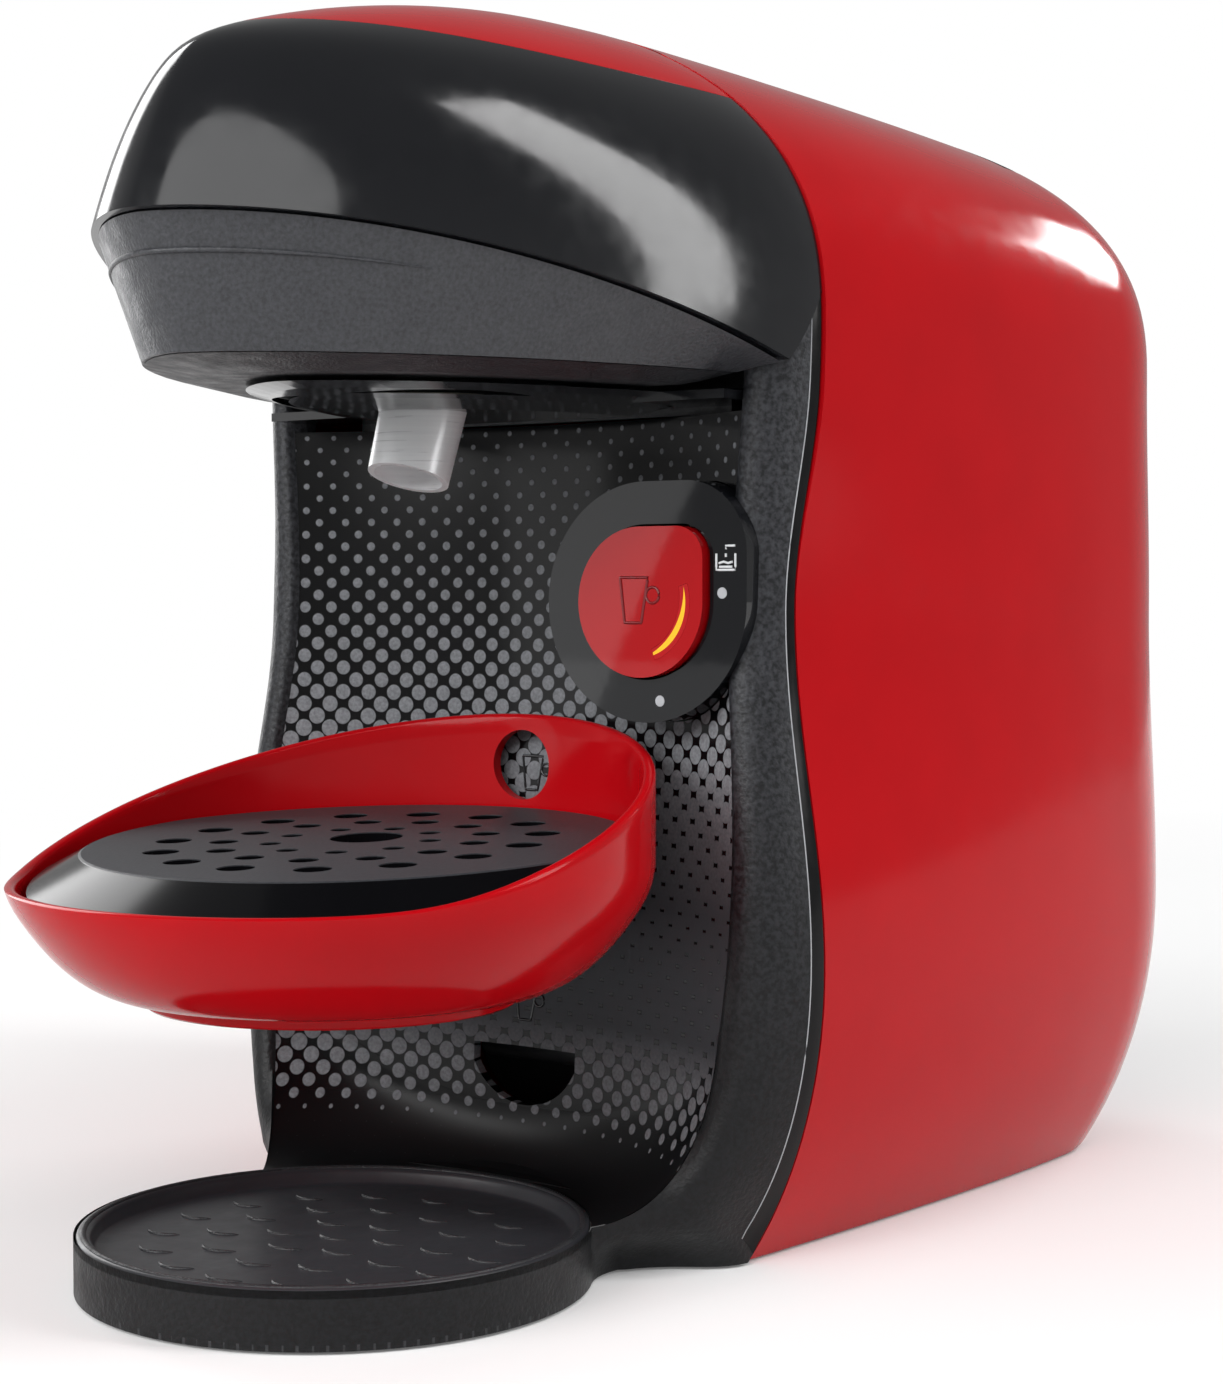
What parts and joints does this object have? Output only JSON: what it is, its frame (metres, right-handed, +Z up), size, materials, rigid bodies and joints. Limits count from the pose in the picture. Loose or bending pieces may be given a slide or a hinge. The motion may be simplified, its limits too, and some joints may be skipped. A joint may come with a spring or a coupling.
{
  "type": "pod coffee machine",
  "caption": "Barrel-shaped pod coffee machine: hinged lid over a brew bowl and spout, hooked round cup tray with drip grid, saucer foot and lift-out water tank.",
  "frame": {"origin": "centre of the bounding box's footprint, on the surface that the feet stand on", "axes": "+Z up, -Y towards the user (the cup tray's side), +X to the user's right"},
  "size_m": [0.167, 0.305, 0.253],
  "materials": {
    "gloss_red": "high-gloss moulded red",
    "gloss_black": "high-gloss black",
    "satin_black": "fine-grained black",
    "dark_grey": "matt dark grey",
    "bowl_black": "smooth black",
    "spout_steel": "polished metal",
    "pin_steel": "turned steel",
    "grey_plastic": "moulded grey",
    "rubber": "soft black",
    "silicone": "translucent off-white hose",
    "lens": "clear white lens",
    "light_yellow": "lit yellow",
    "board": "green circuit board",
    "alu": "cast",
    "window_red": "dark red window",
    "smoked": "clear smoked"
  },
  "bodies": {
    "housing": {"sleeve": "gloss_red", "front_frame": "satin_black", "front_panel": "gloss_black", "bottom_cover": "dark_grey", "rubber_feet": "rubber", "cover_screws": "pin_steel", "bulkhead": "dark_grey", "brew_bowl": "bowl_black", "spout": "spout_steel", "pod_seal": "silicone", "control_bezel": "gloss_black", "indicator_lenses": "lens", "control_board": "board", "micro_switch": "dark_grey", "chassis": "grey_plastic", "pump": "dark_grey", "pump_rests": "rubber", "heater": "alu", "flow_meter": "grey_plastic", "brew_manifold": "grey_plastic", "suction_hose": "silicone", "pump_hose": "silicone", "heater_hose": "silicone", "brew_hose": "silicone", "tank_bay": "dark_grey", "tank_socket": "grey_plastic", "cord_bush": "rubber", "lid_hinge_pin": "pin_steel"},
    "lid": {"lid_visor": "gloss_black", "lid_band": "satin_black", "lid_cap": "gloss_red", "lid_liner": "dark_grey", "piercing_clamp": "grey_plastic", "code_window": "window_red"},
    "start_button": {"start_button": "gloss_red", "button_light": "light_yellow"},
    "cup_tray": {"cup_tray": "gloss_red"},
    "drip_grid": {"drip_grid": "dark_grey"},
    "water_tank": {"water_tank": "smoked", "tank_valve": "grey_plastic"},
    "tank_lid": {"tank_lid": "gloss_black"}
  },
  "joints": [
    {"name": "lid_hinge", "type": "hinge", "parent": "housing", "child": "lid", "pos_m": [0, -0.0255, 0.243], "axis": [-1, 0, 0], "range_deg": [0, 60]},
    {"name": "button_press", "type": "slide", "parent": "housing", "child": "start_button", "axis": [0, 1, 0], "range_m": [0, 0.0015], "stiffness_N_per_m": 500, "springref_m": -0.002},
    {"name": "cup_tray_pull", "type": "slide", "parent": "housing", "child": "cup_tray", "axis": [0, -1, 0], "range_m": [0, 0.04]},
    {"name": "drip_grid_lift", "type": "slide", "parent": "cup_tray", "child": "drip_grid", "axis": [0, 0, 1], "range_m": [0, 0.02]},
    {"name": "tank_lift", "type": "slide", "parent": "housing", "child": "water_tank", "axis": [0, 0, 1], "range_m": [0, 0.08]},
    {"name": "tank_lid_lift", "type": "slide", "parent": "water_tank", "child": "tank_lid", "axis": [0, 0, 1], "range_m": [0, 0.04]}
  ]
}
